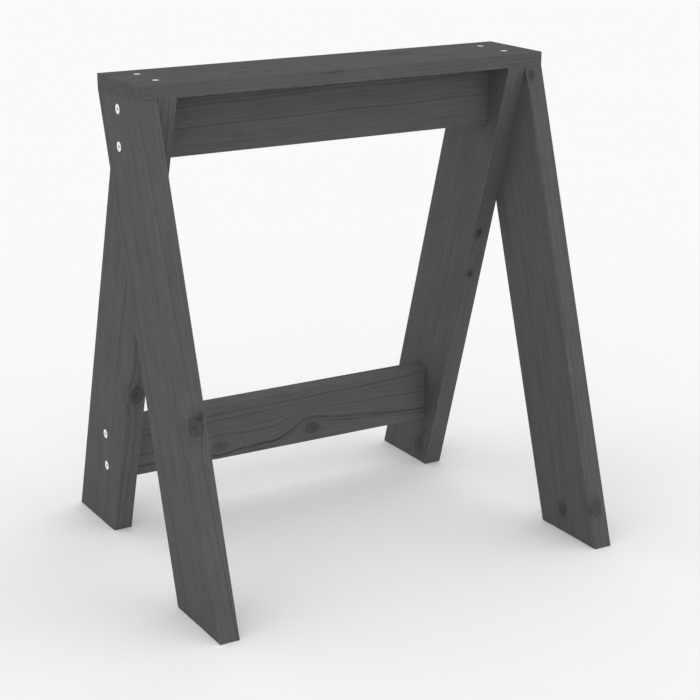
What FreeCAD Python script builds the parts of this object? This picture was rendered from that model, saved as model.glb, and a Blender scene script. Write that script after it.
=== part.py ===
import FreeCAD, Part
import math
import os
import re

import Sketcher

# A small screwed sawhorse. Millimetres, +Z up, +X along the top beam, the origin on the floor under
# the middle of the top board. The legs cross at each end: the front leg of a pair lies in the outer
# plane and the rear leg in the inner plane, so the left and right ends mirror each other.

DIMENSIONS = [
    ("overall_height", 600, "floor to working surface"),
    ("overall_length", 548, "outer face to outer face of the legs"),
    ("foot_spread", 472, "front edge of the front feet to rear edge of the rear feet"),
    ("board_width", 112, "width of the top board, and of a leg measured level"),
    ("top_thickness", 17, "thickness of the top board"),
    ("board_thickness", 24.5, "thickness of the legs and rails"),
    ("rail_depth", 76, "depth of the beam and of the stretcher"),
    ("stretcher_height", 68, "floor to the underside of the stretcher"),
    ("stretcher_offset", 140, "stretcher's middle, behind the middle of the top board"),
    ("edge_radius", 0.5, "rounding of every board edge"),
    ("rail_screw_gap", 43, "between the two screws in a rail's end"),
    ("top_screw_gap", 52, "between the two screws at an end of the top board"),
    ("top_screw", 50, "length of a top screw"),
    ("top_thread", 30, "threaded length of a top screw"),
    ("stretcher_screw", 60, "length of a stretcher screw"),
    ("stretcher_thread", 32, "threaded length of a stretcher screw"),
    ("beam_screw", 90, "length of a beam screw, which passes through two legs"),
    ("beam_thread", 36, "threaded length of a beam screw"),
    ("thick_diameter", 6, "over the thread's ridges, in the rails' screws"),
    ("thick_core", 4, "between the thread's ridges"),
    ("thick_shank", 4.3, "plain shank under the head, and the pilot hole"),
    ("thick_head", 11.6, "countersunk head"),
    ("thick_reach", 3.1, "middle of the head to the end of a cross arm"),
    ("thick_slot", 0.75, "half the width of a cross arm"),
    ("thick_recess", 2.6, "depth of the cross recess"),
    ("thin_diameter", 4, "over the thread's ridges, in the top board's screws"),
    ("thin_core", 2.6, "between the thread's ridges"),
    ("thin_shank", 2.8, "plain shank under the head, and the pilot hole"),
    ("thin_head", 8, "countersunk head"),
    ("thin_reach", 2.15, "middle of the head to the end of a cross arm"),
    ("thin_slot", 0.55, "half the width of a cross arm"),
    ("thin_recess", 1.9, "depth of the cross recess"),
    ("head_rim", 0.3, "height of a head's straight rim"),
    ("head_sink", 0.2, "how far a head is driven below the wood"),
    ("sink_gap", 0.1, "play across a head in its countersink"),
    ("thread_pitch", 2, "from one ridge to the next"),
    ("ridge_width", 1.2, "a ridge at its root"),
    ("tip_length", 6, "pointed end"),
    ("hole_play", 0.4, "play across a screw in a hole that it passes through freely"),
    ("pilot_spare", 2, "how much deeper a pilot hole is than its screw"),
]
COUNTERSINK_ANGLE = 90
RECESS_TAPER = 8

doc = FreeCAD.newDocument("Sawhorse")


# ---- the sheet and the helpers that read it ----

def fill_sheet():
    """One row for each driving dimension: its name, its value and what it measures."""
    sheet = doc.addObject("Spreadsheet::Sheet", "Sizes")
    for row, (alias, value, meaning) in enumerate(DIMENSIONS, start=1):
        sheet.set(f"A{row}", alias)
        sheet.set(f"B{row}", str(value))
        sheet.set(f"C{row}", meaning)
        sheet.setAlias(f"B{row}", alias)
    doc.recompute()


def bind(target, place, formula):
    """Drive a property or a constraint from the sheet. Every word in the formula is an alias."""
    target.setExpression(place, re.sub(r"[a-z]\w+", r"Sizes.\g<0>", formula))


def new_body(label):
    body = doc.addObject("PartDesign::Body", label)
    body.Label = label
    return body


def origin_feature(body, role):
    """One of a body's own origin planes or axes."""
    return next(item for item in body.Origin.OriginFeatures if item.Role == role)


def new_sketch(body, role, offset="0"):
    """An empty sketch on one of the body's origin planes, or on a plane parallel to it."""
    sketch = body.newObject("Sketcher::SketchObject", body.Label + "_sketch")
    sketch.AttachmentSupport = [(origin_feature(body, role), "")]
    sketch.MapMode = "FlatFace"
    bind(sketch, "AttachmentOffset.Base.z", offset)
    return sketch


def hold_point(sketch, geometry, vertex, across, up):
    """Hold a point of a sketch at two distances from the sketch's origin, both given as formulas."""
    for kind, axis, formula in (("DistanceX", -2, across), ("DistanceY", -1, up)):
        if formula == "0":
            sketch.addConstraint(Sketcher.Constraint("PointOnObject", geometry, vertex, axis))
            continue
        index = sketch.addConstraint(Sketcher.Constraint(kind, -1, 1, geometry, vertex, 1.0))
        name = f"{kind}_{geometry}"
        sketch.renameConstraint(index, name)
        bind(sketch, "Constraints." + name, formula)


def draw_outline(sketch, corners):
    """A closed polygon whose corners are held at their formulas, anticlockwise."""
    count = len(corners)
    turn = 2 * math.pi / count
    start = [FreeCAD.Vector(math.cos(turn * i), math.sin(turn * i), 0) * 50 for i in range(count)]
    for i in range(count):
        sketch.addGeometry(Part.LineSegment(start[i], start[(i + 1) % count]))
    for i in range(count):
        sketch.addConstraint(Sketcher.Constraint("Coincident", i, 2, (i + 1) % count, 1))
    for i, (across, up) in enumerate(corners):
        hold_point(sketch, i, 1, across, up)


def draw_centres(sketch, centres):
    """One circle for each hole. Its centre is held at its formulas, and the hole sets the size."""
    for i, (across, up) in enumerate(centres):
        place = FreeCAD.Vector(10 * i, 10, 0)
        sketch.addGeometry(Part.Circle(place, FreeCAD.Vector(0, 0, 1), 2))
        sketch.addConstraint(Sketcher.Constraint("Radius", i, 2))
        hold_point(sketch, i, 3, across, up)


def pad(body, sketch, length, symmetric=False):
    feature = body.newObject("PartDesign::Pad", body.Label + "_pad")
    feature.Profile = sketch
    if symmetric:
        feature.SideType = "Symmetric"
    bind(feature, "Length", length)
    doc.recompute()
    return feature


def ease_edges(body):
    """Round every edge of a board a little."""
    base = body.Tip
    feature = body.newObject("PartDesign::Fillet", body.Label + "_eased_edges")
    feature.Base = (base, [])
    feature.UseAllEdges = True
    bind(feature, "Radius", "edge_radius")
    doc.recompute()


def drill(body, sketch, diameter, depth=None, head=None, backwards=False):
    """Round holes from the sketch's plane into the wood, right through where no depth is given, and
    countersunk where a head's diameter is given."""
    doc.recompute()
    before = body.Shape.Volume
    feature = body.newObject("PartDesign::Hole", body.Label + "_holes")
    feature.Profile = sketch
    feature.Reversed = backwards
    feature.DrillPoint = "Flat"
    bind(feature, "Diameter", diameter)
    if depth:
        feature.DepthType = "Dimension"
        bind(feature, "Depth", depth)
    else:
        feature.DepthType = "ThroughAll"
    if head:
        feature.HoleCutType = "Countersink"
        feature.HoleCutCountersinkAngle = COUNTERSINK_ANGLE
        bind(feature, "HoleCutDiameter", f"{head} + (head_sink + head_rim) * 2 + sink_gap")
    doc.recompute()
    if body.Shape.Volume > before - 1:
        raise RuntimeError(f"{feature.Label} cuts nothing")
    return feature


# ---- boards ----

BEAM_MIDDLE = "(overall_height - top_thickness - rail_depth / 2)"
STRETCHER_MIDDLE = "(stretcher_height + rail_depth / 2)"
RAIL_SCREWS = [("upper", "+ rail_screw_gap / 2"), ("lower", "- rail_screw_gap / 2")]
INNER_LEG_MIDDLE = "(overall_length / 2 - board_thickness * 1.5)"
THICK_CLEARANCE = "thick_diameter + hole_play"
THIN_CLEARANCE = "thin_diameter + hole_play"


def make_top_board():
    """The working surface. Its own frame is at the middle of its underside."""
    body = new_body("top_board")
    half_length = "overall_length / 2"
    half_width = "board_width / 2"
    outline = new_sketch(body, "XY_Plane")
    draw_outline(outline, [
        ("-" + half_length, "-" + half_width),
        (half_length, "-" + half_width),
        (half_length, half_width),
        ("-" + half_length, half_width),
    ])
    pad(body, outline, "top_thickness")
    ease_edges(body)
    centres = new_sketch(body, "XY_Plane", "top_thickness")
    draw_centres(centres, [
        (sign_x + INNER_LEG_MIDDLE, sign_y + "top_screw_gap / 2") for sign_x in "+-" for sign_y in "+-"
    ])
    drill(body, centres, THIN_CLEARANCE, head="thin_head")
    bind(body, "Placement.Base.z", "overall_height - top_thickness")
    return body


def make_rail(label, offset, middle, screw_length, boards_passed):
    """A board on edge between the two inner legs, with two pilot holes in each end."""
    body = new_body(label)
    half_depth = "rail_depth / 2"
    half_thickness = "board_thickness / 2"
    outline = new_sketch(body, "YZ_Plane")
    draw_outline(outline, [
        ("-" + half_thickness, "-" + half_depth),
        (half_thickness, "-" + half_depth),
        (half_thickness, half_depth),
        ("-" + half_thickness, half_depth),
    ])
    pad(body, outline, "overall_length - board_thickness * 4", symmetric=True)
    ease_edges(body)
    centres = new_sketch(body, "YZ_Plane", "overall_length / 2 - board_thickness * 2")
    draw_centres(centres, [("0", shift) for _, shift in RAIL_SCREWS])
    depth = f"{screw_length} - board_thickness * {boards_passed} + pilot_spare"
    right_holes = drill(body, centres, "thick_shank", depth)
    mirrored = body.newObject("PartDesign::Mirrored", label + "_left_holes")
    mirrored.Originals = [right_holes]
    mirrored.MirrorPlane = (origin_feature(body, "YZ_Plane"), [""])
    body.Tip = mirrored
    bind(body, "Placement.Base.y", offset)
    bind(body, "Placement.Base.z", middle)
    return body


def draw_leg(body, out, back):
    """The leaning board with level ends. out is the sign of Y on the foot's side, back the other."""
    top = "overall_height - top_thickness"
    outline = new_sketch(body, "YZ_Plane")
    draw_outline(outline, [
        (out + "(foot_spread / 2 - board_width)", "0"),
        (out + "foot_spread / 2", "0"),
        (out + "board_width / 2", top),
        (back + "board_width / 2", top),
    ])
    pad(body, outline, "board_thickness")
    ease_edges(body)


def rail_screw_centres(across, middle):
    return [(across, f"{middle} {shift}") for _, shift in RAIL_SCREWS]


def outer_face_sketch(body, side):
    """A sketch on a leg's outer face, which is its +X face at the right end and its -X face at the left."""
    return new_sketch(body, "YZ_Plane", "board_thickness" if side == "right" else "0")


def make_front_leg(side):
    """In the outer plane of its end, with the countersunk holes of the two beam screws."""
    body = new_body(f"front_{side}_leg")
    draw_leg(body, "-", "+")
    centres = outer_face_sketch(body, side)
    draw_centres(centres, rail_screw_centres("0", BEAM_MIDDLE))
    drill(body, centres, THICK_CLEARANCE, head="thick_head", backwards=(side == "left"))
    start = "overall_length / 2 - board_thickness" if side == "right" else "-overall_length / 2"
    bind(body, "Placement.Base.x", start)
    return body


def make_rear_leg(side):
    """In the inner plane of its end. The beam screws pass through it, the stretcher screws start in
    it, and the top screws end in its upper end grain."""
    body = new_body(f"rear_{side}_leg")
    draw_leg(body, "+", "-")
    passing = outer_face_sketch(body, side)
    draw_centres(passing, rail_screw_centres("0", BEAM_MIDDLE))
    drill(body, passing, THICK_CLEARANCE, backwards=(side == "left"))
    starting = outer_face_sketch(body, side)
    draw_centres(starting, rail_screw_centres("stretcher_offset", STRETCHER_MIDDLE))
    drill(body, starting, THICK_CLEARANCE, head="thick_head", backwards=(side == "left"))
    ending = new_sketch(body, "XY_Plane", "overall_height - top_thickness")
    draw_centres(ending, [("board_thickness / 2", sign + "top_screw_gap / 2") for sign in "+-"])
    drill(body, ending, "thin_shank", "top_screw - top_thickness + pilot_spare")
    near = "overall_length / 2 - board_thickness * 2"
    far = "-overall_length / 2 + board_thickness"
    bind(body, "Placement.Base.x", near if side == "right" else far)
    return body


# ---- screws ----

def revolve(body, sketch, name):
    feature = body.newObject("PartDesign::Revolution", name)
    feature.Profile = sketch
    feature.ReferenceAxis = (sketch, ["V_Axis"])
    feature.Angle = 360
    doc.recompute()
    return feature


def cut_cross_recess(body, gauge):
    """A tapered cross in the head, drawn as one twelve-cornered outline."""
    reach = f"{gauge}_reach"
    slot = f"{gauge}_slot"
    corners = [
        (reach, "-" + slot), (reach, slot), (slot, slot), (slot, reach),
        ("-" + slot, reach), ("-" + slot, slot), ("-" + reach, slot), ("-" + reach, "-" + slot),
        ("-" + slot, "-" + slot), ("-" + slot, "-" + reach), (slot, "-" + reach), (slot, "-" + slot),
    ]
    sketch = new_sketch(body, "XY_Plane")
    draw_outline(sketch, corners)
    doc.recompute()
    before = body.Shape.Volume
    recess = body.newObject("PartDesign::Pocket", body.Label + "_recess")
    recess.Profile = sketch
    recess.TaperAngle = -RECESS_TAPER
    bind(recess, "Length", f"{gauge}_recess")
    doc.recompute()
    if body.Shape.Volume > before - 1:
        raise RuntimeError(f"{recess.Label} cuts nothing")


def make_screw(label, use, gauge):
    """A countersunk wood screw. use is top, stretcher or beam and sets its length, and gauge is thick
    or thin. Its own frame is at the middle of the head, and it points along -Z."""
    body = new_body(label)
    length = f"{use}_screw"
    core = f"{gauge}_core / 2"
    shank = f"{gauge}_shank / 2"
    head = f"{gauge}_head / 2"
    thread_top = f"{use}_thread - {length}"
    profile = new_sketch(body, "XZ_Plane")
    draw_outline(profile, [
        ("0", f"-{length}"),
        (core, f"tip_length - {length}"),
        (core, thread_top),
        (shank, f"{thread_top} + thread_pitch / 2"),
        (shank, f"-head_rim - ({head} - {shank})"),
        (head, "-head_rim"),
        (head, "0"),
        ("0", "0"),
    ])
    revolve(body, profile, label + "_blank")
    cut_cross_recess(body, gauge)
    add_thread(body, use, gauge)
    return body


def add_thread(body, use, gauge):
    """Sharp ridges round the core, one for each turn of the thread."""
    first = f"{use}_thread - {use}_screw - thread_pitch"
    root = f"{gauge}_core / 2 - ridge_width / 4"
    ridge = new_sketch(body, "XZ_Plane")
    draw_outline(ridge, [
        (root, f"{first} - ridge_width / 2"),
        (f"{gauge}_diameter / 2", first),
        (root, f"{first} + ridge_width / 2"),
    ])
    turn = revolve(body, ridge, body.Label + "_ridge")
    pattern = body.newObject("PartDesign::LinearPattern", body.Label + "_thread")
    pattern.Originals = [turn]
    pattern.Direction = (origin_feature(body, "Z_Axis"), [""])
    pattern.Reversed = True
    bind(pattern, "Length", f"{use}_thread - tip_length - thread_pitch")
    bind(pattern, "Occurrences", f"({use}_thread - tip_length) / thread_pitch")
    body.Tip = pattern
    doc.recompute()


def place_screw(body, position, direction):
    """Stand the screw's head at three formulas, pointing along a direction."""
    turn = FreeCAD.Rotation(FreeCAD.Vector(0, 0, -1), FreeCAD.Vector(*direction))
    body.Placement = FreeCAD.Placement(FreeCAD.Vector(), turn)
    for axis, formula in zip("xyz", position):
        bind(body, "Placement.Base." + axis, formula)


def make_top_screws():
    """Two at each end, down through the top board into the inner leg."""
    bodies = []
    for side, sign_x in (("left", "-"), ("right", "+")):
        for row, sign_y in (("front", "-"), ("rear", "+")):
            body = make_screw(f"top_screw_{side}_{row}", "top", "thin")
            across = sign_y + "top_screw_gap / 2"
            place_screw(body, (sign_x + INNER_LEG_MIDDLE, across, "overall_height - head_sink"), (0, 0, -1))
            bodies.append(body)
    return bodies


def make_rail_screws(rail, face, across, middle):
    """Two at each end, level, through the legs into the end of a rail. face is the X of the leg's
    outer face at the right end."""
    bodies = []
    for side, sign, inward in (("left", "-", 1), ("right", "+", -1)):
        for row, shift in RAIL_SCREWS:
            body = make_screw(f"{rail}_screw_{side}_{row}", rail, "thick")
            position = (f"{sign}({face} - head_sink)", across, f"{middle} {shift}")
            place_screw(body, position, (inward, 0, 0))
            bodies.append(body)
    return bodies


# ---- the sawhorse ----

def check(parts):
    """Stop if any object failed to compute or any piece isn't one valid solid."""
    for item in doc.Objects:
        if "Invalid" in item.State or "Error" in item.State:
            raise RuntimeError(f"{item.Label} failed: {item.State}")
    for part in parts:
        if part.Shape.isNull() or not part.Shape.isValid() or len(part.Shape.Solids) != 1:
            raise RuntimeError(f"{part.Label} is not one valid solid")


def write(parts):
    os.makedirs("parts", exist_ok=True)
    for part in parts:
        part.Shape.exportStep(f"parts/{part.Label}.step")
        box = part.Shape.BoundBox
        print(f"{part.Label:30s} {part.Shape.Volume / 1000:8.2f} cm3  "
              f"x {box.XMin:7.1f} {box.XMax:7.1f}  y {box.YMin:7.1f} {box.YMax:7.1f}  "
              f"z {box.ZMin:6.1f} {box.ZMax:6.1f}")


def main():
    fill_sheet()
    parts = [make_top_board()]
    parts.append(make_rail("top_beam", "0", BEAM_MIDDLE, "beam_screw", 2))
    parts.append(make_rail("stretcher", "stretcher_offset", STRETCHER_MIDDLE, "stretcher_screw", 1))
    for side in ("left", "right"):
        parts.append(make_front_leg(side))
        parts.append(make_rear_leg(side))
    parts += make_top_screws()
    parts += make_rail_screws("beam", "overall_length / 2", "0", BEAM_MIDDLE)
    parts += make_rail_screws("stretcher", "overall_length / 2 - board_thickness",
                              "stretcher_offset", STRETCHER_MIDDLE)
    doc.recompute()
    check(parts)
    write(parts)


main()
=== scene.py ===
from collections import namedtuple

import bpy
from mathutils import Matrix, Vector


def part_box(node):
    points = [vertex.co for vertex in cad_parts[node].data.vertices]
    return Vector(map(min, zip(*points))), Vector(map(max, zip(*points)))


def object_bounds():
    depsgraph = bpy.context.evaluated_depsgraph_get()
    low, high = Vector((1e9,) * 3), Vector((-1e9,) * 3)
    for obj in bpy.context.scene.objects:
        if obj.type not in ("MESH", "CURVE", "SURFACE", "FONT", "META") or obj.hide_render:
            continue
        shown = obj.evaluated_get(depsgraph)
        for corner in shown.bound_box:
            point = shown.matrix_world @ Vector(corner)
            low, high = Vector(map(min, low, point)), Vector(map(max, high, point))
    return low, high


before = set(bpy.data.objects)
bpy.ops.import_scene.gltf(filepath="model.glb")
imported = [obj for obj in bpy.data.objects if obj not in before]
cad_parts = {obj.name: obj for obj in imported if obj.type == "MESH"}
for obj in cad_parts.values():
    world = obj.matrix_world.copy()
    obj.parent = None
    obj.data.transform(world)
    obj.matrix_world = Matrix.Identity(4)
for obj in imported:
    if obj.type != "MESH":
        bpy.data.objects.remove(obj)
cad_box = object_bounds()
MM = 0.001


# ---------------------------------------------------------------- shader wiring

class Wiring:
    """Adds nodes to one material. Every input may be a number, a tuple or another node's output."""

    def __init__(self, name):
        self.material = bpy.data.materials.new(name)
        self.material.use_nodes = True
        self.tree = self.material.node_tree
        self.shader = self.tree.nodes["Principled BSDF"]
        self.object_point = self.tree.nodes.new("ShaderNodeTexCoord").outputs["Object"]
        self.normal = self.tree.nodes.new("ShaderNodeNewGeometry").outputs["Normal"]

    def put(self, socket, value):
        if isinstance(value, bpy.types.NodeSocket):
            self.tree.links.new(value, socket)
        else:
            socket.default_value = value

    def math(self, operation, *values):
        node = self.tree.nodes.new("ShaderNodeMath")
        node.operation = operation
        for socket, value in zip(node.inputs, values):
            self.put(socket, value)
        return node.outputs[0]

    def vector(self, operation, *values):
        node = self.tree.nodes.new("ShaderNodeVectorMath")
        node.operation = operation
        for socket, value in zip(node.inputs, values):
            self.put(socket, value)
        number = operation in ("DOT_PRODUCT", "LENGTH", "DISTANCE")
        return node.outputs["Value" if number else "Vector"]

    def scale(self, point, *shares):
        """A point with each coordinate multiplied by a number of its own, or all three by one."""
        if len(shares) == 1:
            shares = shares * 3
        return self.vector("MULTIPLY", point, shares)

    def join(self, x, y, z):
        node = self.tree.nodes.new("ShaderNodeCombineXYZ")
        for socket, value in zip(node.inputs, (x, y, z)):
            self.put(socket, value)
        return node.outputs[0]

    def noise(self, point, detail=2.0, roughness=0.5):
        """Smooth noise from 0 to 1, about one blob to each unit of the point."""
        node = self.tree.nodes.new("ShaderNodeTexNoise")
        self.put(node.inputs["Vector"], point)
        node.inputs["Scale"].default_value = 1.0
        node.inputs["Detail"].default_value = detail
        node.inputs["Roughness"].default_value = roughness
        return node.outputs[0]

    def step(self, value, low, high):
        """0 below low, 1 above high and smooth between. low may be above high, which turns it round."""
        node = self.tree.nodes.new("ShaderNodeMapRange")
        node.interpolation_type = "SMOOTHSTEP"
        self.put(node.inputs["Value"], value)
        self.put(node.inputs["From Min"], min(low, high))
        self.put(node.inputs["From Max"], max(low, high))
        self.put(node.inputs["To Min"], 0.0 if low < high else 1.0)
        self.put(node.inputs["To Max"], 1.0 if low < high else 0.0)
        return node.outputs["Result"]

    def add(self, *values):
        total = values[0]
        for value in values[1:]:
            total = self.math("ADD", total, value)
        return total

    def times(self, *values):
        total = values[0]
        for value in values[1:]:
            total = self.math("MULTIPLY", total, value)
        return total

    def mix(self, layers, shares, start=0.0):
        """start plus every layer that shares names, each times its share."""
        return self.add(start, *[self.times(layers[name], share) for name, share in shares.items()])

    def less(self, first, second):
        return self.math("SUBTRACT", first, second)

    def around(self, value, amount):
        """A noise value turned into a swing of plus or minus half of amount."""
        return self.times(self.less(value, 0.5), amount)

    def hill(self, distance, width):
        """1 at distance 0, falling smoothly to nothing at about twice the width."""
        share = self.math("DIVIDE", distance, width)
        return self.math("EXPONENT", self.times(share, share, -1.0))

    def bump(self, height, strength, distance):
        node = self.tree.nodes.new("ShaderNodeBump")
        node.inputs["Strength"].default_value = strength
        node.inputs["Distance"].default_value = distance
        self.put(node.inputs["Height"], height)
        return node.outputs[0]

    def grey(self, value):
        """A neutral colour of the given lightness."""
        return self.join(value, value, value)


# ---------------------------------------------------------------- boards

# A board's own axes and size, in metres: grain runs along it, across its width, through its thickness.
Board = namedtuple("Board", "centre grain across through length width thickness")

# A knot. along, across and through are shares of the board's half sizes from its middle, radius is in
# millimetres, axis says which way the branch grew, and dark is how much darker its heart is.
Knot = namedtuple("Knot", "along across through radius axis dark", defaults=["through", 0.5])

# A dark line of grain: its level and its width in millimetres, its share of dark, where it starts and
# ends as shares of the half length, and the axis its level is measured on.
Streak = namedtuple("Streak", "level width dark start end axis", defaults=[-1.2, 1.2, "across"])

# A place where the lower grain of a board rises by height millimetres, from one share of the half
# length to another.
Climb = namedtuple("Climb", "start end height")

# How one board was sawn and stained: the seed that picks its own stretch of every noise, the pith's
# place in millimetres from the board's middle (across, through), how far the pith leans off for each
# millimetre along the board, the growth rings' spacing in millimetres and the board's share of STAIN.
# That share is painted light and shade: it makes the whole board lighter or darker to even out how
# light falls on it.
Timber = namedtuple("Timber", "seed pith slope rings stain knots streaks climbs", defaults=[(), (), ()])


def board_from_box(node, grain, across, through):
    """The board of a node whose edges run along the frame's axes."""
    low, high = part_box(node)
    size = high - low
    length, width, thickness = (abs(size.dot(axis)) for axis in (grain, across, through))
    return Board((low + high) / 2, grain, across, through, length, width, thickness)


def leaning_board(node, foot_side, level_width):
    """The board of a leg. It leans in the YZ plane, and its foot is on the foot_side of the middle."""
    low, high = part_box(node)
    size = high - low
    rise = Vector((0, foot_side * -(size.y - level_width), size.z))
    grain = rise.normalized()
    across = Vector((0, grain.z, -grain.y))
    width = level_width * across.y
    return Board((low + high) / 2, grain, across, Vector((1, 0, 0)), rise.length, width, size.x)


X_AXIS, Y_AXIS, Z_AXIS = Vector((1, 0, 0)), Vector((0, 1, 0)), Vector((0, 0, 1))

# A leg measured level is as wide as the top board.
LEVEL_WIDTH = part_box("top_board")[1].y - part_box("top_board")[0].y

BOARDS = {
    "top_board": board_from_box("top_board", X_AXIS, Y_AXIS, Z_AXIS),
    "top_beam": board_from_box("top_beam", X_AXIS, Z_AXIS, Y_AXIS),
    "stretcher": board_from_box("stretcher", X_AXIS, Z_AXIS, Y_AXIS),
    "front_left_leg": leaning_board("front_left_leg", -1, LEVEL_WIDTH),
    "rear_left_leg": leaning_board("rear_left_leg", 1, LEVEL_WIDTH),
    "front_right_leg": leaning_board("front_right_leg", -1, LEVEL_WIDTH),
    "rear_right_leg": leaning_board("rear_right_leg", 1, LEVEL_WIDTH),
}

TIMBER = {
    "top_board": Timber(
        # Painted shade: the whole top board is made a little darker, against the extra light on its top
        # from above.
        seed=1.3, pith=(-22, -75), slope=(0.01, 0.03), rings=3.4, stain=0.96,
        knots=[
            Knot(0.40, 0.33, 0.4, 7, dark=0.40),
            Knot(-0.36, -0.55, 0.2, 5, dark=0.35),
        ],
        streaks=[Streak(5.0, 0.9, 0.30, -0.13, -0.01, "through")],
    ),
    "top_beam": Timber(
        # Painted shade: the whole beam is made a little darker, to even out how light falls on it.
        seed=7.9, pith=(75, 70), slope=(-0.01, 0.02), rings=3.0, stain=0.98,
        streaks=[Streak(2.5, 1.3, 0.16, -0.46, -0.12), Streak(4, 1.5, 0.08, 0.1, 0.7)],
    ),
    "stretcher": Timber(
        # Painted light: the whole stretcher is made lighter, to even out how light falls on it.
        seed=4.2, pith=(-90, 62), slope=(0.008, -0.015), rings=3.6, stain=1.15,
        knots=[
            Knot(0.2, -0.53, -0.7, 7.5, dark=0.48),
            Knot(-0.41, -0.56, -0.7, 8, dark=0.26),
        ],
        streaks=[Streak(-28, 1.3, 0.42), Streak(-33, 1.1, 0.14, 0.3, 1.0), Streak(-30, 3, 0.16, -0.3, 0.1)],
        climbs=[Climb(-0.07, 0.19, 22), Climb(0.09, 1.11, -17)],
    ),
    "front_left_leg": Timber(
        seed=2.6, pith=(-105, 78), slope=(0.03, -0.02), rings=3.8, stain=1.0,
        knots=[
            Knot(-0.25, -0.93, -0.15, 9, "across", 0.45),
            Knot(-0.215, -0.95, 0.5, 4.5, "across", 0.45),
        ],
        streaks=[
            Streak(19, 2.0, 0.10, -0.1, 0.42),
            Streak(47, 2.6, 0.26, 0.51, 0.65),
            Streak(9, 3.0, 0.07, 0.55, 0.77),
            Streak(-34, 1.3, 0.12, -1.2, -0.3),
        ],
    ),
    "rear_left_leg": Timber(
        seed=9.4, pith=(98, 84), slope=(-0.02, 0.02), rings=3.5, stain=1.0,
        knots=[
            Knot(-0.26, -0.96, 0.0, 9.5, "across", 0.45),
            Knot(-0.02, 0.95, -0.6, 4, "across", 0.5),
        ],
        streaks=[Streak(-22, 1.6, 0.10, -0.1, 0.35)],
    ),
    "front_right_leg": Timber(
        seed=5.7, pith=(92, -88), slope=(0.02, 0.03), rings=3.6, stain=1.0,
        knots=[
            Knot(-0.89, 0.10, -0.7, 8, dark=0.42),
            Knot(-0.80, 0.66, -0.7, 6, dark=0.12),
            Knot(-0.885, -0.95, -0.3, 8, "across", 0.42),
            Knot(0.908, -0.97, -0.43, 5, "across", 0.5),
        ],
        streaks=[Streak(14, 1.2, 0.06)],
    ),
    "rear_right_leg": Timber(
        # Painted light: the whole leg is made lighter, against the shade it stands in behind the front
        # right leg.
        seed=3.1, pith=(-100, -70), slope=(-0.02, 0.03), rings=3.3, stain=1.04,
        knots=[
            Knot(0.285, -0.97, -0.35, 4, "across", 0.65),
            Knot(0.08, -0.97, -0.4, 3.6, "across", 0.65),
            Knot(-0.885, -0.59, -0.7, 11, dark=0.36),
            Knot(-0.79, -0.67, -0.7, 6, dark=0.34),
            Knot(0.57, -0.12, -0.7, 6, dark=0.14),
            Knot(0.23, 0.39, -0.7, 2.2, dark=0.3),
        ],
        streaks=[Streak(-5, 1.2, 0.06)],
    ),
}


# ---------------------------------------------------------------- stained softwood

# The lightness of the dark-grey stain on plain face grain.
STAIN = 0.0955

# What each layer of the wood adds to its lightness, its roughness and its relief, on top of the plain
# value. A noise counts from -0.5 to 0.5, so its number is its whole swing.
PLAIN_LIGHTNESS = 1.05
LIGHTNESS = {
    "late": -0.24, "bands": 0.24, "fibres": 0.24, "hairs": 0.24, "blotches": 0.24, "specks": 0.10,
    "pores": -0.14, "streaks": -1.0,
}
PLAIN_ROUGHNESS = 0.74
ROUGHNESS = {"fibres": 0.16, "late": -0.06, "knot": -0.08, "end_grain": 0.12, "worn": -0.05}
RELIEF = {
    "late": 0.35, "fibres": 0.5, "hairs": 0.25, "pores": -0.5, "streaks": -0.6, "knot": 0.4,
    "dents": 0.8,
}
RELIEF_STRENGTH = 0.5
RELIEF_DEPTH = 0.25 * MM

# The shares of lightness lost to late wood in end grain and to stain soaked up by an end, and gained
# where an arris is worn.
END_GRAIN_RINGS = 0.16
SOAKED_END = 0.02
WORN_ARRIS = 0.28

# How far in millimetres wear and dents reach from an arris, and soaked-up stain from a board's end.
WORN_WIDTH = 1.6
DENTED_WIDTH = 2.5
SOAKED_DEPTH = 9.0

# How far in millimetres the grain wanders across the board and through it, and ripples across it.
WANDER_ACROSS = 12.0
WANDER_THROUGH = 8.0
RIPPLE = 2.0

# Millimetres across the board between which a climb comes in.
CLIMB_FADE = (26, -4)

# The grain parts over this many knot radii, and goes this share of the way round the knot.
PARTING_REACH = 1.9
PARTING = 0.8

# How many ring spacings the growth rings drift by, from the least to the most.
UNEVEN_RINGS = 4.0

# A knot is squeezed by these shares before it is measured, so that it is longer along the board than
# across it, and longer still the way its branch grew.
KNOT_STRETCH = 0.78
KNOT_DEPTH = {"through": 0.3, "across": 0.65}

# What each part of a knot adds to its darkness, and the lumps in every knot's outline, per metre.
KNOT_SHADE = {"inside": 0.42, "heart": 0.40, "rim": 0.5, "rings": 0.12, "checks": 0.5, "halo": 0.26}
KNOT_LUMPS = 140.0

# The share of a board's half length over which a streak fades to each side of its ends.
STREAK_FADE = 0.06


def board_coordinates(w, board):
    """Millimetres along the grain, across the board and through it, from the board's middle."""
    offset = w.vector("SUBTRACT", w.object_point, tuple(board.centre))
    return [
        w.math("DIVIDE", w.vector("DOT_PRODUCT", offset, tuple(axis)), MM)
        for axis in (board.grain, board.across, board.through)
    ]


def knot_field(w, knot, board, along, across, through):
    """A point's offset in millimetres from a knot's middle, its distance in knot radii and its
    direction round the knot's axis."""
    place = (
        knot.along * board.length / MM / 2,
        knot.across * board.width / MM / 2,
        knot.through * board.thickness / MM / 2,
    )
    offset = [w.less(value, centre) for value, centre in zip((along, across, through), place)]
    depth = KNOT_DEPTH[knot.axis]
    reach = (KNOT_STRETCH, 1.0, depth) if knot.axis == "through" else (KNOT_STRETCH, depth, 1.0)
    scaled = w.join(*[w.times(part, share / knot.radius) for part, share in zip(offset, reach)])
    side = offset[1] if knot.axis == "through" else offset[2]
    direction = w.math("ARCTAN2", side, w.times(offset[0], KNOT_STRETCH))
    return offset, w.vector("LENGTH", scaled), direction


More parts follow.
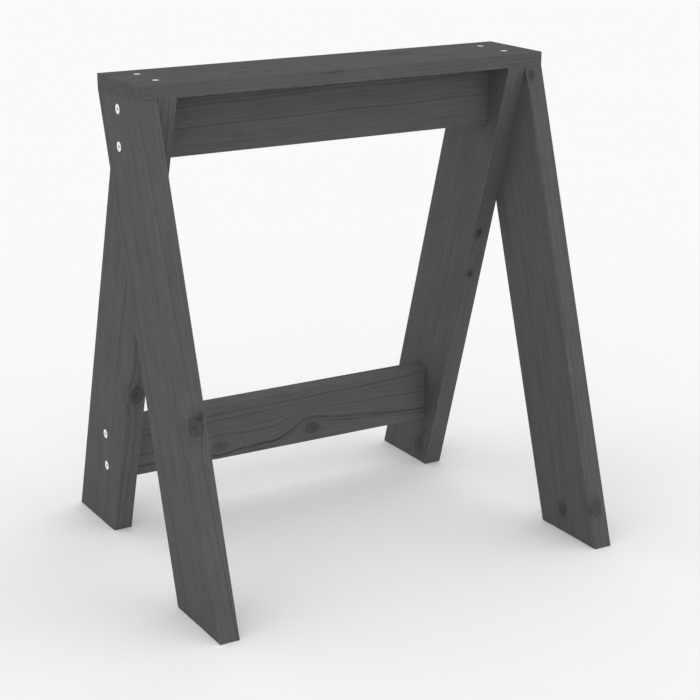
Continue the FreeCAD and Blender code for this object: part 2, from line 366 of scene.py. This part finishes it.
def bend_grain(w, timber, board, along, across, through, fields):
    """Where the grain at a point would run if it were straight. It wanders a little, climbs where the
    timber says so, and parts round each knot."""
    place = w.join(along, across, through)
    seed = (timber.seed, timber.seed, timber.seed)
    wander = w.vector("ADD", w.scale(place, 0.004, 0.006, 0.006), seed)
    ripple = w.vector("ADD", w.scale(place, 0.018, 0.03, 0.03), seed)
    elsewhere = w.vector("ADD", wander, (7.0, 3.0, 5.0))
    bent_across = w.add(
        across, w.around(w.noise(wander, 1.0), WANDER_ACROSS), w.around(w.noise(ripple), RIPPLE),
    )
    bent_through = w.add(through, w.around(w.noise(elsewhere, 1.0), WANDER_THROUGH))
    half_length = board.length / MM / 2
    for climb in timber.climbs:
        rise = w.step(along, climb.start * half_length, climb.end * half_length)
        bent_across = w.less(bent_across, w.times(rise, w.step(across, *CLIMB_FADE), climb.height))
    for offset, distance, _ in fields:
        parting = w.times(w.hill(distance, PARTING_REACH), PARTING)
        bent_across = w.less(bent_across, w.times(offset[1], parting))
        bent_through = w.less(bent_through, w.times(offset[2], parting))
    return bent_across, bent_through


def growth_rings(w, timber, along, bent_across, bent_through):
    """0 in the soft early wood. In the hard late wood each ring has a strength of its own, from 0.25
    to 1.25."""
    pith_across = w.add(timber.pith[0], w.times(along, timber.slope[0]))
    pith_through = w.add(timber.pith[1], w.times(along, timber.slope[1]))
    radial = w.join(w.less(bent_across, pith_across), w.less(bent_through, pith_through), 0.0)
    radius = w.vector("LENGTH", radial)
    uneven = w.around(w.noise(w.join(w.times(radius, 0.09), timber.seed, 0.0)), UNEVEN_RINGS)
    ring = w.add(w.math("DIVIDE", radius, timber.rings), uneven)
    share = w.math("FRACT", ring)
    late = w.times(w.step(share, 0.5, 0.9), w.step(share, 1.0, 0.95))
    white = w.tree.nodes.new("ShaderNodeTexWhiteNoise")
    white.noise_dimensions = "1D"
    w.put(white.inputs["W"], w.math("FLOOR", ring))
    strength = w.add(0.25, white.outputs["Value"])
    return w.times(late, strength)


def knot_parts(w, knot, distance, direction, lumps, mottle):
    """The parts of one knot: its inside, a dark heart, a broken rim, rings, fine drying checks that
    start at the heart, and a soft halo. The rings go from -1 to 1, and the others from 0 to 1."""
    edge = w.add(distance, lumps)
    inside = w.step(edge, 1.12, 0.85)
    arms = w.math("SINE", w.add(w.times(direction, 1.5), w.times(lumps, 4.0), knot.radius))
    checks = w.times(w.hill(w.times(arms, distance), 0.05), w.step(edge, 0.95, 0.5))
    return {
        "inside": inside,
        "heart": w.step(edge, 0.55, 0.1),
        "rim": w.times(w.hill(w.less(edge, 1.0), 0.11), w.step(lumps, -0.2, 0.15)),
        "rings": w.times(w.math("SINE", w.times(edge, 17.0)), inside),
        "checks": w.times(checks, w.step(mottle, 0.97, 1.12)),
        "halo": w.step(edge, 2.6, 0.8),
    }


def knot_layers(w, timber, fields):
    """How much of a point is knot, and how dark it is there. Every knot's outline is uneven."""
    point = w.scale(w.object_point, KNOT_LUMPS)
    lumps = w.around(w.noise(point, 3.0, 0.6), 0.9)
    mottle = w.add(1.0, w.around(w.noise(w.scale(point, 2.3)), 0.7))
    cover = 0.0
    dark = 0.0
    for knot, (_, distance, direction) in zip(timber.knots, fields):
        parts = knot_parts(w, knot, distance, direction, lumps, mottle)
        cover = w.math("MAXIMUM", cover, parts["inside"])
        dark = w.math("MAXIMUM", dark, w.times(mottle, w.mix(parts, KNOT_SHADE), knot.dark))
    return cover, dark


def streak_layer(w, timber, board, along, bent_across, bent_through):
    """The odd dark line of grain. It follows the bent grain, varies in width and fades at its ends."""
    dark = 0.0
    half_length = board.length / MM / 2
    soft = STREAK_FADE * half_length
    for streak in timber.streaks:
        level = bent_across if streak.axis == "across" else bent_through
        place = w.join(w.times(along, 0.03), streak.level, timber.seed)
        off_line = w.add(w.less(level, streak.level), w.around(w.noise(place), 1.4))
        line = w.hill(off_line, streak.width)
        start = streak.start * half_length
        end = streak.end * half_length
        fade = w.times(
            w.step(along, start - soft, start + soft),
            w.step(along, end + soft, end - soft),
            w.step(w.noise(w.scale(place, 1.7, 3.0, 1.0)), 0.2, 0.55),
        )
        dark = w.add(dark, w.times(line, fade, streak.dark))
    return dark


def edge_distance(w, board, along, across, through):
    """Millimetres from the nearest arris between two faces of the board, and from its nearer end. A
    leg's ends are level, so they are found from the height."""
    leaning = abs(board.grain.z) > 0.5
    if leaning:
        offset = w.vector("SUBTRACT", w.object_point, tuple(board.centre))
        height = w.math("DIVIDE", w.vector("DOT_PRODUCT", offset, tuple(Z_AXIS)), MM)
        half_height = board.length * board.grain.z / 2
        to_end = w.less(half_height / MM, w.math("ABSOLUTE", height))
    else:
        to_end = w.less(board.length / MM / 2, w.math("ABSOLUTE", along))
    to_side = w.less(board.width / MM / 2, w.math("ABSOLUTE", across))
    to_face = w.less(board.thickness / MM / 2, w.math("ABSOLUTE", through))
    pairs = [(to_side, to_face), (to_end, to_side), (to_end, to_face)]
    arrises = [w.math("MAXIMUM", first, second) for first, second in pairs]
    nearest = w.math("MINIMUM", w.math("MINIMUM", arrises[0], arrises[1]), arrises[2])
    return nearest, to_end


def wood_noises(w, timber, place, bent):
    """The fine structure of the wood: noises from broad bands down to specks, each from -0.5 to 0.5,
    and pores. The fibres run with the bent grain, and the blotches of stain with the board."""
    along, across, through = place
    bent_across, bent_through = bent
    fibre_point = w.join(w.times(along, 0.02), bent_across, w.add(bent_through, timber.seed * 10))
    blotch_point = w.join(w.times(along, 0.02), w.times(across, 0.04), w.times(through, 0.04))
    noises = {
        "bands": w.noise(w.scale(fibre_point, 0.6, 0.16, 0.16), 2.0),
        "fibres": w.noise(w.scale(fibre_point, 1.0, 0.8, 0.8), 3.0, 0.6),
        "hairs": w.noise(w.scale(fibre_point, 3.0), 3.0, 0.7),
        "blotches": w.noise(w.vector("ADD", blotch_point, (0.0, 0.0, timber.seed)), 3.0, 0.55),
        "specks": w.noise(w.scale(w.object_point, 1600.0), 1.0),
    }
    layers = {name: w.less(noise, 0.5) for name, noise in noises.items()}
    layers["pores"] = w.step(w.noise(w.scale(fibre_point, 3.0, 1.8, 1.8), 1.0), 0.64, 0.74)
    return layers


def wear_layers(w, board, place):
    """End grain, ends that soak up stain, arrises rubbed bare in places and the dents near them, each
    from 0 to 1."""
    facing = w.math("ABSOLUTE", w.vector("DOT_PRODUCT", w.normal, tuple(board.grain)))
    nearest, to_end = edge_distance(w, board, *place)
    rub = w.noise(w.scale(w.object_point, 90.0), 3.0, 0.6)
    return {
        "end_grain": w.step(facing, 0.55, 0.8),
        "soaked": w.step(to_end, SOAKED_DEPTH, 0.0),
        "worn": w.times(w.step(nearest, WORN_WIDTH, 0.2), w.step(rub, 0.42, 0.66)),
        "dents": w.times(rub, w.step(nearest, DENTED_WIDTH, 0.0)),
    }


def wood_layers(w, board, timber):
    """Every layer of one board's wood, by name."""
    place = board_coordinates(w, board)
    along = place[0]
    fields = [knot_field(w, knot, board, *place) for knot in timber.knots]
    bent = bend_grain(w, timber, board, *place, fields)
    layers = {
        "late": growth_rings(w, timber, along, *bent),
        "streaks": streak_layer(w, timber, board, along, *bent),
    }
    layers["knot"], layers["knot_dark"] = knot_layers(w, timber, fields)
    layers.update(wood_noises(w, timber, place, bent))
    layers.update(wear_layers(w, board, place))
    return layers


def stained_wood(node):
    """Planed softwood under a thin grey stain, with this board's own grain, knots, ends and wear, and
    painted light and shade in its lightness share for the whole board.
    """
    w = Wiring("stained_" + node)
    timber = TIMBER[node]
    layers = wood_layers(w, BOARDS[node], timber)
    lightness = w.times(
        w.mix(layers, LIGHTNESS, PLAIN_LIGHTNESS),
        w.less(1.0, layers["knot_dark"]),
        w.less(1.0, w.times(layers["soaked"], SOAKED_END)),
        w.less(1.0, w.times(layers["end_grain"], layers["late"], END_GRAIN_RINGS)),
        w.add(1.0, w.times(layers["worn"], WORN_ARRIS)),
    )
    # The base colour is the stain's lightness times each board's share, which paints light and shade into
    # the whole board.
    w.put(w.shader.inputs["Base Color"], w.grey(w.times(lightness, STAIN * timber.stain)))
    w.put(w.shader.inputs["Roughness"], w.mix(layers, ROUGHNESS, PLAIN_ROUGHNESS))
    w.shader.inputs["Specular IOR Level"].default_value = 0.01
    w.put(w.shader.inputs["Normal"], w.bump(w.mix(layers, RELIEF), RELIEF_STRENGTH, RELIEF_DEPTH))
    return w.material


# ---------------------------------------------------------------- zinc screws

def screw_axis(node):
    """A screw's head centre, the way it points into the wood and its head's radius in millimetres. Its
    longest side is its axis, and its head is at the end further from the sawhorse's middle, or on top."""
    low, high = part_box(node)
    size = high - low
    middle = (low + high) / 2
    radius = size.y / MM / 2
    if size.z > size.x:
        return Vector((middle.x, middle.y, high.z)), Vector((0, 0, -1)), radius
    if middle.x < 0:
        return Vector((low.x, middle.y, middle.z)), Vector((1, 0, 0)), radius
    return Vector((high.x, middle.y, middle.z)), Vector((-1, 0, 0)), radius


# The cross recess lies within these shares of the head's radius, which its dullness and its painted shade
# fade across.
RECESS_RIM = (0.62, 0.55)

# The zinc's lightness, how much darker its tarnish spots are, and how much painted shade darkens its
# recess.
ZINC = 0.9
TARNISH = 0.12
RECESS_SHADE = 0.45


def zinc(node):
    """Bright zinc plate: faint turning marks round the head, a dull recess with painted shade in it and
    small tarnish spots.
    """
    head, inward, head_radius = screw_axis(node)
    w = Wiring("zinc_" + node)
    offset = w.vector("SUBTRACT", w.object_point, tuple(head))
    depth = w.math("DIVIDE", w.vector("DOT_PRODUCT", offset, tuple(inward)), MM)
    flat = w.vector("CROSS_PRODUCT", offset, tuple(inward))
    radius = w.math("DIVIDE", w.vector("LENGTH", flat), MM)
    turning = w.noise(w.join(w.times(radius, 9.0), depth, 0.0), 2.0)
    spots = w.step(w.noise(w.scale(w.object_point, 700.0), 2.0), 0.66, 0.74)
    cloud = w.noise(w.scale(w.object_point, 180.0), 2.0)
    outer, inner = [share * head_radius for share in RECESS_RIM]
    # Inside the cross recess the zinc is duller, and its colour is darkened as painted shade.
    sunk = w.times(w.step(depth, 0.15, 1.8), w.step(radius, outer, inner))
    tone = w.add(ZINC, w.around(cloud, 0.10), w.times(spots, -TARNISH), w.times(sunk, -RECESS_SHADE))
    w.put(w.shader.inputs["Base Color"], w.grey(tone))
    w.put(w.shader.inputs["Roughness"], w.add(0.3, w.around(turning, 0.12), w.times(sunk, 0.2)))
    w.shader.inputs["Metallic"].default_value = 1.0
    w.put(w.shader.inputs["Normal"], w.bump(turning, 0.15, 0.05 * MM))
    return w.material


# ---------------------------------------------------------------- studio

# How far the floor reaches from the middle, and how far it lies under the feet, so that the two never
# share a plane.
FLOOR_REACH = 40.0
FLOOR_GAP = 0.2 * MM
FLOOR_LIGHTNESS = 0.93

# The camera's place, to the left, in front and above, the point that the middle of its view looks at,
# and its lens in millimetres.
EYE = (-1.048, -1.858, 0.906)
AIM = (0.0301, 0.0, 0.2334)
LENS = 91.3

# The light is nearly the same from all round. A weak softbox, in front and to the left, faces the
# sawhorse's middle.
WORLD_STRENGTH = 1.03
SOFTBOX_PLACE = (-1.2, -3.0, 1.2)
SOFTBOX_TARGET = (0.0, 0.0, cad_box[1].z / 2)
SOFTBOX_SIZE = 2.2
SOFTBOX_WATTS = 3.0


def make_floor():
    """A plain pale studio floor, large enough to fill the view."""
    half = FLOOR_REACH
    level = cad_box[0].z - FLOOR_GAP
    mesh = bpy.data.meshes.new("floor")
    corners = [(-half, -half, level), (half, -half, level), (half, half, level), (-half, half, level)]
    mesh.from_pydata(corners, [], [(0, 1, 2, 3)])
    floor = bpy.data.objects.new("floor", mesh)
    bpy.context.scene.collection.objects.link(floor)
    w = Wiring("studio_floor")
    cloud = w.noise(w.scale(w.object_point, 2.0), 2.0)
    w.put(w.shader.inputs["Base Color"], w.grey(w.add(FLOOR_LIGHTNESS, w.around(cloud, 0.01))))
    w.shader.inputs["Roughness"].default_value = 0.9
    w.shader.inputs["Specular IOR Level"].default_value = 0.1
    mesh.materials.append(w.material)


def make_world():
    """An even white light from all round."""
    world = bpy.data.worlds.new("studio")
    world.use_nodes = True
    background = world.node_tree.nodes["Background"]
    background.inputs["Color"].default_value = (1.0, 1.0, 1.0, 1.0)
    background.inputs["Strength"].default_value = WORLD_STRENGTH
    bpy.context.scene.world = world


def aim(thing, place, target):
    """Put a light or a camera at place, facing target, in the scene."""
    thing.location = place
    thing.rotation_euler = (Vector(target) - Vector(place)).to_track_quat("-Z", "Y").to_euler()
    bpy.context.scene.collection.objects.link(thing)


def make_softbox():
    """A weak square area light."""
    data = bpy.data.lights.new("key", "AREA")
    data.shape = "SQUARE"
    data.size = SOFTBOX_SIZE
    data.energy = SOFTBOX_WATTS
    aim(bpy.data.objects.new("key", data), SOFTBOX_PLACE, SOFTBOX_TARGET)


def make_camera():
    """The scene's camera, with no shift, so that every other view of it has the sawhorse in frame."""
    data = bpy.data.cameras.new("camera")
    data.lens = LENS
    data.clip_end = FLOOR_REACH * 5
    camera = bpy.data.objects.new("camera", data)
    aim(camera, EYE, AIM)
    bpy.context.scene.camera = camera


# ---------------------------------------------------------------- the sawhorse in its studio

def paint():
    """Every CAD node keeps its mesh and gets a material of its own."""
    for node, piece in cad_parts.items():
        material = stained_wood(node) if node in BOARDS else zinc(node)
        piece.data.materials.clear()
        piece.data.materials.append(material)


paint()
make_floor()
make_world()
make_softbox()
make_camera()
bpy.context.scene.view_settings.view_transform = "Standard"
